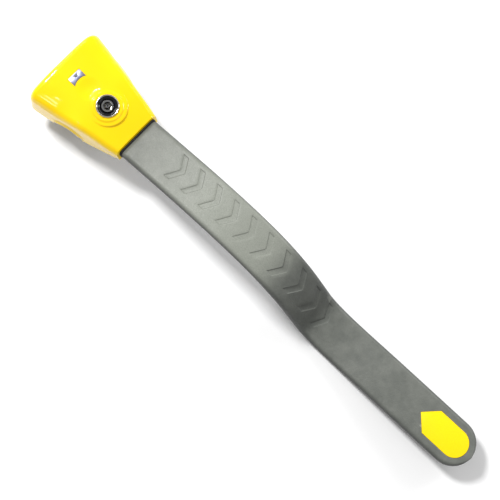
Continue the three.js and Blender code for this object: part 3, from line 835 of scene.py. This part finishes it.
def chrome_with_painted_dark_reflection():
    s = Surface("chrome", Metallic=1.0)
    # painted reflection: the chrome flats get a near-black colour that stands in for the dark surroundings
    # they mirror; the edges and the bezel ring keep a bright chrome colour
    dark_reflection_paint = s.blend(s.span(s.noise(4, 3), 0.3, 0.7), (0.02, 0.02, 0.022), (0.045, 0.045, 0.048))
    dark_reflection_paint = s.blend(s.span(s.edges(), 0, 1, 0, 0.9), dark_reflection_paint, (0.95, 0.95, 0.93))
    rim = s.span(s.around(LOCK_X, 0), BEZEL_R - 1.9, BEZEL_R - 1.6)
    s.colour(s.blend(rim, dark_reflection_paint, (0.62, 0.6, 0.53)))
    s.gloss(s.span(s.noise(1.2, 4, 0.6), 0.35, 0.7, 0.06, 0.13))
    s.bump(s.noise(0.6, 2), 0.0015)
    return s.mat


def black_rubber():
    s = Surface("black_rubber", Specular_IOR_Level=0.35)
    s.colour(s.blend(s.span(s.noise(5, 4), 0.3, 0.7), (0.012, 0.012, 0.013), (0.028, 0.028, 0.029)))
    s.gloss(s.span(s.noise(0.8, 3), 0.3, 0.7, 0.6, 0.8))
    s.bump(s.noise(0.4, 3, 0.6), 0.03)
    return s.mat


def gloss_black():
    s = Surface("gloss_black", Specular_IOR_Level=0.25, Coat_Weight=0.1, Coat_Roughness=0.03)
    s.colour(s.blend(s.span(s.noise(2.5, 3), 0.3, 0.7), (0.004, 0.004, 0.005), (0.012, 0.012, 0.014)))
    s.gloss(s.span(s.noise(0.9, 4), 0.3, 0.7, 0.08, 0.16))
    s.bump(s.noise(1.1, 2), 0.003)
    return s.mat


def badge_metal():
    s = Surface("badge_silver", Metallic=0.55)
    brushed = s.noise(0.25, 2, 0.5, (1, 0.04, 1))
    plain = s.blend(s.span(brushed, 0.3, 0.7), (0.3, 0.31, 0.39), (0.38, 0.39, 0.47))
    # painted shade: two darker bands along the concave edge stand in for the step where the badge tilts
    # down; the plate itself stays flat
    rings = s.around(DISH_X, 0)
    plain = s.blend(s.span(rings, 16.1, 15.7), plain, (0.11, 0.11, 0.19))
    plain = s.blend(s.span(rings, 20.3, 19.9), plain, (0.2, 0.205, 0.3))
    s.colour(plain)
    s.gloss(s.span(brushed, 0.3, 0.7, 0.3, 0.45))
    s.bump(brushed, 0.004)
    return s.mat


def turned_brass():
    s = Surface("brass_pin", Metallic=1.0)
    s.colour(s.blend(s.span(s.noise(0.6, 3), 0.3, 0.7), (0.5, 0.38, 0.16), (0.68, 0.54, 0.26)))
    s.gloss(s.span(s.noise(0.3, 3), 0.3, 0.7, 0.2, 0.35))
    return s.mat


def reflector_lens():
    s = Surface("reflector", Specular_IOR_Level=0.2, Coat_Weight=0.4, Coat_Roughness=0.06)
    prisms = s.cells(1.3)
    s.colour(s.blend(s.span(prisms, 0.1, 0.6, 0, 1), (1.0, 0.74, 0.0), (0.97, 0.7, 0.0)))
    s.gloss(s.span(s.noise(3, 3), 0.3, 0.7, 0.3, 0.42))
    s.bump(prisms, 0.02)
    return s.mat


MATERIALS = {
    "yellow_shell": yellow_shell(), "grey_sleeve": grey_cover(), "cast_frame": cast_metal(),
    "steel": plated_steel(), "chrome": chrome_with_painted_dark_reflection(), "black_rubber": black_rubber(),
    "gloss_black": gloss_black(), "badge_silver": badge_metal(), "brass_pin": turned_brass(),
    "reflector": reflector_lens(),
}


# ------------------------------------------------------------------ CAD nodes that stay
SLOT_OF = {p["node"]: p["material_slot"] for p in frame["record"]["subparts"]}
FINE_EDGE = {"lower_jaw": 0.7, "head_frame": 0.4, "saddle_pad": 0.4, "jaw_pad": 0.4, "bolt_plate": 0.3,
             "barrel_nut": 0.3, "spiral_cam": 0.2, "lock_bolt": 0.25, "mouth_gasket": 0.35}


def finish_node(name, node):
    node.data.materials.clear()
    node.data.materials.append(MATERIALS[SLOT_OF[name]])
    node.data.shade_smooth()
    weld = node.modifiers.new("weld", "WELD")
    weld.merge_threshold = 0.002 * MM
    edge = node.modifiers.new("edge", "BEVEL")
    edge.width = FINE_EDGE.get(name, 0.12) * MM
    edge.segments = 2
    edge.limit_method = "ANGLE"
    edge.angle_limit = math.radians(35)
    edge.harden_normals = True


for node_name, node_object in frame["nodes"].items():
    finish_node(node_name, node_object)

piece(make_head(), "head", "yellow_shell", MATERIALS["yellow_shell"], "head_cover")
piece(make_upper(), "head", "grey_sleeve", MATERIALS["grey_sleeve"], "sleeve_upper")
piece(make_lower(), "head", "grey_sleeve", MATERIALS["grey_sleeve"], "sleeve_lower")
piece(make_reflector(), "head", "reflector", MATERIALS["reflector"], "tail_reflector")
piece(make_barrel(), "head", "chrome", MATERIALS["chrome"], "lock_barrel")
piece(make_dish(), "head", "gloss_black", MATERIALS["gloss_black"], "dish_ring")
piece(make_plug(), "plug", "chrome", MATERIALS["chrome"], "lock_plug")
piece(make_badge(), "head", "badge_silver", MATERIALS["badge_silver"], "badge_plate")
piece(make_rivet(), "head", "steel", MATERIALS["cast_frame"], "badge_rivet")


# ------------------------------------------------------------------ floor and light
def make_floor():
    size = 6.0
    floor = mesh_object("floor", [(-size, -size, 0), (size, -size, 0), (size, size, 0), (-size, size, 0)],
                        [(0, 1, 2, 3)], placed=False)
    s = Surface("floor", Roughness=0.8)
    s.colour(s.blend(s.noise(60, 2), (0.9, 0.9, 0.9), (0.92, 0.92, 0.92)))
    floor.data.materials.append(s.mat)


def area_light(name, at, to, size, watts, colour=(1, 1, 1)):
    data = bpy.data.lights.new(name, "AREA")
    data.shape = "RECTANGLE"
    data.size, data.size_y = size
    data.energy = watts
    data.color = colour
    light = bpy.data.objects.new(name, data)
    bpy.context.scene.collection.objects.link(light)
    light.location = at
    light.rotation_euler = (Vector(to) - Vector(at)).to_track_quat("-Z", "Y").to_euler()


def light_scene():
    """high soft key over the head, low light along the bar, small lights that streak the gloss"""
    world = bpy.data.worlds.new("studio")
    world.use_nodes = True
    world.node_tree.nodes["Background"].inputs["Color"].default_value = (1, 1, 1, 1)
    world.node_tree.nodes["Background"].inputs["Strength"].default_value = 0.4
    bpy.context.scene.world = world
    bpy.context.scene.view_settings.view_transform = "Standard"
    head = (-0.25, 0, 0.06)
    area_light("key", (-1.9, 0.1, 2.3), (-0.1, 0, 0), (0.5, 0.5), 80)
    area_light("raking", (-2.5, 0.7, 0.9), (0, 0, 0), (0.8, 0.5), 8)
    area_light("tail_fill", (1.5, 0.3, 1.6), (0.25, 0, 0), (1.0, 1.0), 3)
    area_light("far_strip", (0.1, 1.6, 0.9), (0.1, 0, 0), (2.4, 0.2), 5)
    area_light("glint", (0.46, 1.2, 0.64), head, (0.3, 0.7), 6)
    for k, y in enumerate((-0.26, -0.42, -0.56)):
        area_light(f"streak_{k}", (-0.49, y, 1.25), head, (0.05, 0.03), 0.07)


make_floor()
light_scene()
